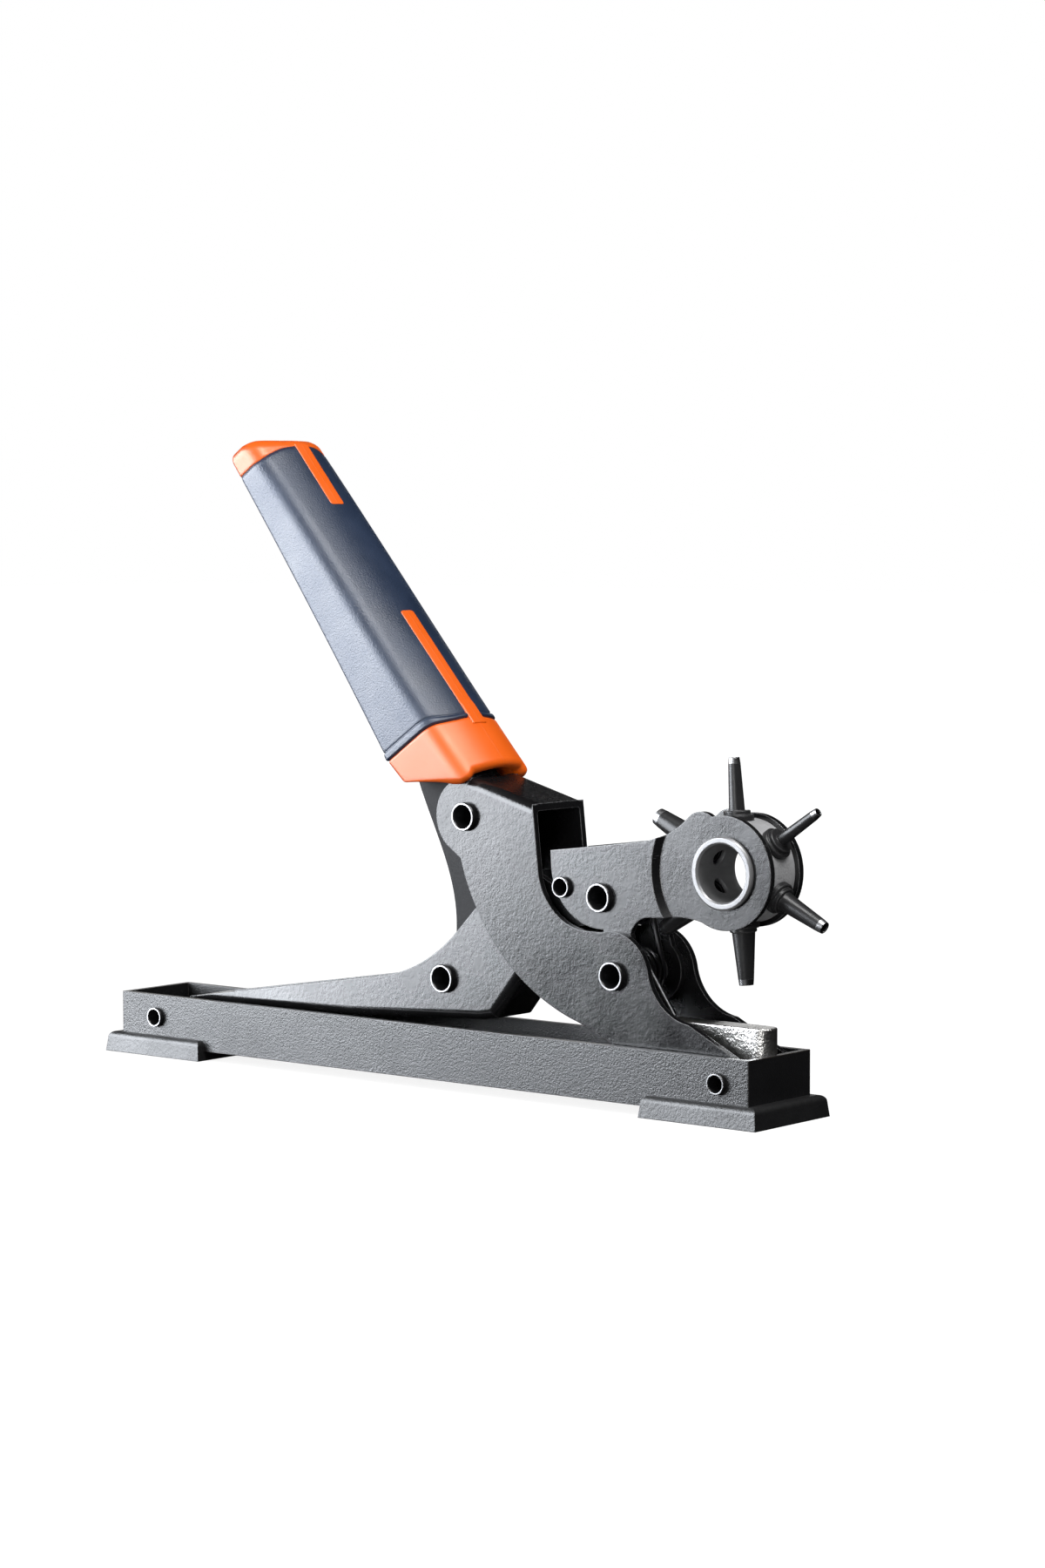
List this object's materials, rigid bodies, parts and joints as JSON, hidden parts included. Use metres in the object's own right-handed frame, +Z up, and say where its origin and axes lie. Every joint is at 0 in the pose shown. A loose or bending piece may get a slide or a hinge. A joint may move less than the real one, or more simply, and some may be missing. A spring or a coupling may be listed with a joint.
{
  "type": "lever_hole_punch",
  "caption": "Bench lever hole punch: a revolving wheel of punch tubes on a jaw, closed on an anvil by a long padded hand lever through a compound linkage, in a tray base",
  "frame": {"origin": "middle of the tool's box, on the bench it stands on", "axes": "+X along the tray towards the anvil and the wheel, +Y across the tool, +Z up, square to the anvil's face"},
  "size_m": [0.2704, 0.0366, 0.1958],
  "materials": {
    "grained_black": "grained powder coat",
    "foot_plastic": "fine grain",
    "black_rivet": "satin, rims worn bright",
    "zinc_plate": "bright zinc plate",
    "black_paint": "satin, fine orange peel",
    "nickel": "dull nickel plate",
    "spring_steel": "bright wire",
    "grip_navy": "fine grain",
    "orange_plastic": "satin",
    "cast_zinc": "rough cast",
    "tube_steel": "blackened, ground cutting edge"
  },
  "bodies": {
    "base": {"base_tray": "grained_black", "foot_rear": "foot_plastic", "foot_front": "foot_plastic", "base_rivet_rear": "black_rivet", "base_rivet_front": "black_rivet", "rear_tie_tube": "zinc_plate", "tray_washers": "zinc_plate", "anvil_spacers": "zinc_plate", "frame_body": "black_paint", "anvil": "nickel", "lever_pivot_rivet": "black_rivet", "lever_pivot_washers": "zinc_plate", "jaw_pivot_rivet": "black_rivet", "return_spring": "spring_steel"},
    "lever": {"lever_core": "black_paint", "lever_pivot_spacer": "zinc_plate", "grip_body": "grip_navy", "grip_guard": "orange_plastic", "grip_end_cap": "orange_plastic", "grip_inlays": "orange_plastic"},
    "lower_lever": {"lower_lever": "black_paint", "link_rivet": "black_rivet", "link_spacer": "zinc_plate"},
    "jaw": {"jaw_plate_near": "black_paint", "jaw_plate_far": "black_paint", "jaw_pivot_spacer": "zinc_plate", "jaw_link_rivet": "black_rivet", "jaw_link_spacer": "zinc_plate", "stop_rivet": "black_rivet", "stop_spacer": "zinc_plate", "index_spring": "spring_steel"},
    "punch_wheel": {"wheel_drum": "cast_zinc", "wheel_hub": "zinc_plate", "punch_tube_2_0": "tube_steel", "punch_tube_2_5": "tube_steel", "punch_tube_3_0": "tube_steel", "punch_tube_3_5": "tube_steel", "punch_tube_4_0": "tube_steel", "punch_tube_4_5": "tube_steel"}
  },
  "joints": [
    {"name": "lever_press", "type": "hinge", "parent": "base", "child": "lever", "pos_m": [0.0126, 0, 0.0828], "axis": [0, -1, 0], "range_deg": [0, 8.6], "stiffness_Nm_per_rad": 3, "springref_deg": -15.47},
    {"name": "link_turn", "type": "hinge", "parent": "lever", "child": "lower_lever", "pos_m": [0.0021, 0, 0.0332], "axis": [0, -1, 0], "range_deg": [-6.6, 0]},
    {"name": "jaw_close", "type": "hinge", "parent": "base", "child": "jaw", "pos_m": [0.0686, 0, 0.0392], "axis": [0, -1, 0], "range_deg": [-16.3, 0], "deforming": ["return_spring"]},
    {"name": "wheel_turn", "type": "hinge", "parent": "jaw", "child": "punch_wheel", "pos_m": [0.10515, 0, 0.07095], "axis": [0, -1, 0], "continuous": true, "deforming": ["index_spring"]}
  ],
  "couplings": [
    {"joint": "jaw_close", "follows": "lever_press", "ratio": -1.885},
    {"joint": "link_turn", "follows": "lever_press", "ratio": -0.76}
  ]
}
